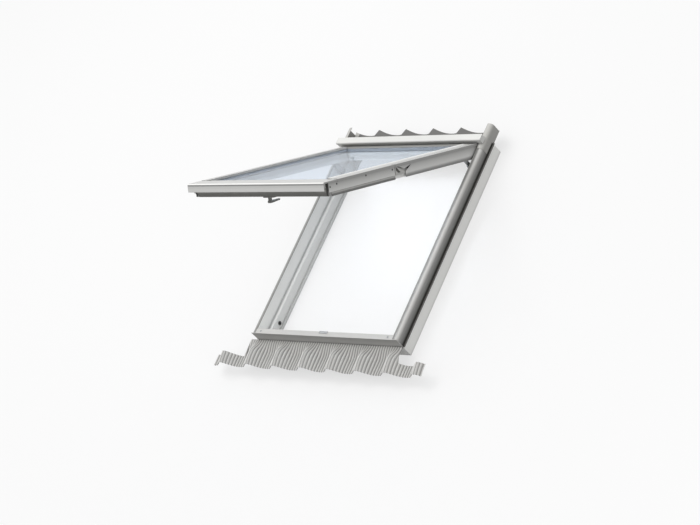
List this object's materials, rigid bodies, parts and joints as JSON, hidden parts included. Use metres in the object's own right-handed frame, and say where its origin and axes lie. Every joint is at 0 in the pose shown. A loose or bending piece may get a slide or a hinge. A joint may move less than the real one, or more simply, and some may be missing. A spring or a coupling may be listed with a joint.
{
  "type": "top-hung roof window",
  "caption": "Roof window with a top-hung glazed sash standing open on hinge arms, in a frame with grey covers, head and side flashing and a pleated apron.",
  "frame": {"origin": "bottom centre of the whole part's box, in the plane of the frame's underside", "axes": "+X across the window, +Y up the slope towards the hinge, +Z out of the roof plane"},
  "size_m": [1.142, 1.188, 0.774],
  "materials": {
    "lacquered_timber": "white lacquer",
    "cover_aluminium": "light grey lacquer",
    "front_aluminium": "mid grey lacquer",
    "flashing_aluminium": "dark grey lacquer",
    "apron_aluminium": "pleated, mid grey lacquer",
    "zinc_steel": "zinc plated",
    "moulded_plastic": "moulded",
    "black_rubber": "extruded",
    "spacer_bar": "matt",
    "clear_glass": "polished",
    "handle_metal": "satin"
  },
  "bodies": {
    "frame": {"frame_head": "lacquered_timber", "frame_sill": "lacquered_timber", "frame_stile_left": "lacquered_timber", "frame_stile_right": "lacquered_timber", "frame_gasket": "black_rubber", "side_cover_left": "cover_aluminium", "side_cover_right": "cover_aluminium", "bottom_cover": "front_aluminium", "hood": "cover_aluminium", "hood_cap_left": "moulded_plastic", "hood_cap_right": "moulded_plastic", "hinge_plate_left": "zinc_steel", "hinge_plate_right": "zinc_steel", "stay_bracket_left": "zinc_steel", "stay_bracket_right": "zinc_steel", "striker_plate": "zinc_steel", "cover_screws": "zinc_steel", "bolt_bush": "spacer_bar", "bracket_top_left": "zinc_steel", "bracket_top_right": "zinc_steel", "bracket_bottom_left": "zinc_steel", "bracket_bottom_right": "zinc_steel", "head_flashing": "flashing_aluminium", "side_flashing_left": "flashing_aluminium", "side_flashing_right": "flashing_aluminium", "pleated_apron": "apron_aluminium"},
    "arms": {"arm_left": "zinc_steel", "arm_right": "zinc_steel", "arm_cover_left": "cover_aluminium", "arm_cover_right": "cover_aluminium", "pivot_housing_left": "moulded_plastic", "pivot_housing_right": "moulded_plastic", "pivot_pin_left": "zinc_steel", "pivot_pin_right": "zinc_steel"},
    "stay_left": {"stay_left": "zinc_steel"},
    "stay_right": {"stay_right": "zinc_steel"},
    "sash": {"sash_top_rail": "lacquered_timber", "sash_bottom_rail": "lacquered_timber", "sash_stile_left": "lacquered_timber", "sash_stile_right": "lacquered_timber", "front_cover": "cover_aluminium", "sash_cover_left": "cover_aluminium", "sash_cover_right": "cover_aluminium", "upper_cover_left": "cover_aluminium", "upper_cover_right": "cover_aluminium", "top_cover": "cover_aluminium", "side_seal_left": "black_rubber", "side_seal_right": "black_rubber", "bottom_seal": "black_rubber", "pivot_bush_left": "zinc_steel", "pivot_bush_right": "zinc_steel", "side_screws": "zinc_steel", "outer_pane": "clear_glass", "inner_pane": "clear_glass", "glass_spacer": "spacer_bar", "glazing_gasket": "black_rubber", "handle_base": "handle_metal"},
    "lever": {"handle_lever": "handle_metal"}
  },
  "joints": [
    {"name": "top_hinge", "type": "hinge", "parent": "frame", "child": "arms", "pos_m": [0.02, 0.4595, 0.1065], "axis": [1, 0, 0], "range_deg": [0, 45]},
    {"name": "centre_pivot", "type": "hinge", "parent": "arms", "child": "sash", "pos_m": [0.02, 0.13989, 0.42611], "axis": [1, 0, 0], "range_deg": [-150, 0]},
    {"name": "stay_left_swing", "type": "hinge", "parent": "frame", "child": "stay_left", "pos_m": [-0.342, 0.3695, 0.1065], "axis": [1, 0, 0], "range_deg": [0, 90]},
    {"name": "stay_right_swing", "type": "hinge", "parent": "frame", "child": "stay_right", "pos_m": [0.382, 0.3695, 0.1065], "axis": [1, 0, 0], "range_deg": [0, 90]},
    {"name": "handle_turn", "type": "hinge", "parent": "sash", "child": "lever", "pos_m": [0.02, -0.17371, 0.67749], "axis": [0, 0.7071, 0.7071], "range_deg": [0, 90]}
  ],
  "couplings": [
    {"joint": "stay_left_swing", "follows": "top_hinge", "ratio": 2},
    {"joint": "stay_right_swing", "follows": "top_hinge", "ratio": 2}
  ]
}
